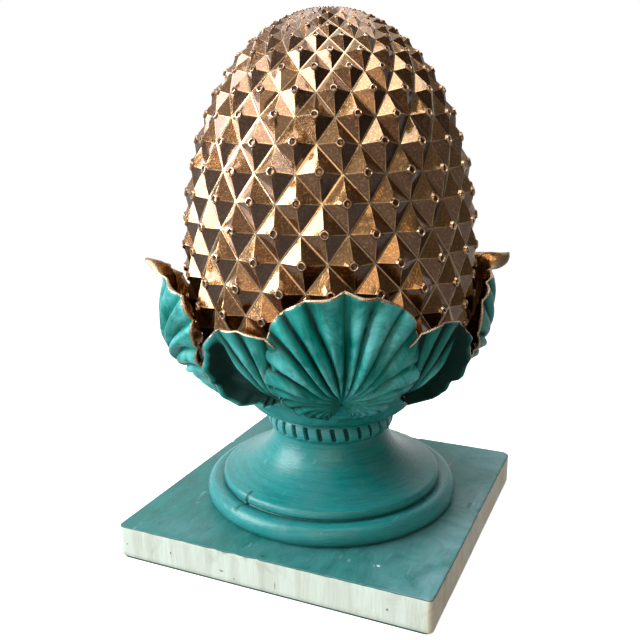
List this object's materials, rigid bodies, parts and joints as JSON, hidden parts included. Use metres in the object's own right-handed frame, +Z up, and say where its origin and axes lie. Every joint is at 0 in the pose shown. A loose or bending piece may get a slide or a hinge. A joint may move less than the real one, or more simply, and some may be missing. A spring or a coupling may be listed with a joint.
{
  "type": "pinecone finial",
  "caption": "Pinecone finial: a bronze-glazed pinecone in a cup of leaves on a turned foot and a square plinth, for a shelf, newel or gatepost.",
  "frame": {"origin": "middle of the underside", "axes": "+Z up along the pinecone, plinth sides along X and Y, the front side faces -Y"},
  "size_m": [0.2026, 0.2038, 0.3245],
  "materials": {
    "bronze_glaze": "metallic bronze lustre, speckled",
    "teal_paint": "brushed semi-matt paint with wear",
    "cream_paint": "brushed pale paint with grey streaks, teal on top",
    "green_felt": "dark green felt"
  },
  "bodies": {
    "root": {"felt_pad": "green_felt", "plinth": "cream_paint", "turned_foot": "teal_paint", "leaf_cup": "teal_paint", "pinecone": "bronze_glaze"}
  },
  "joints": []
}
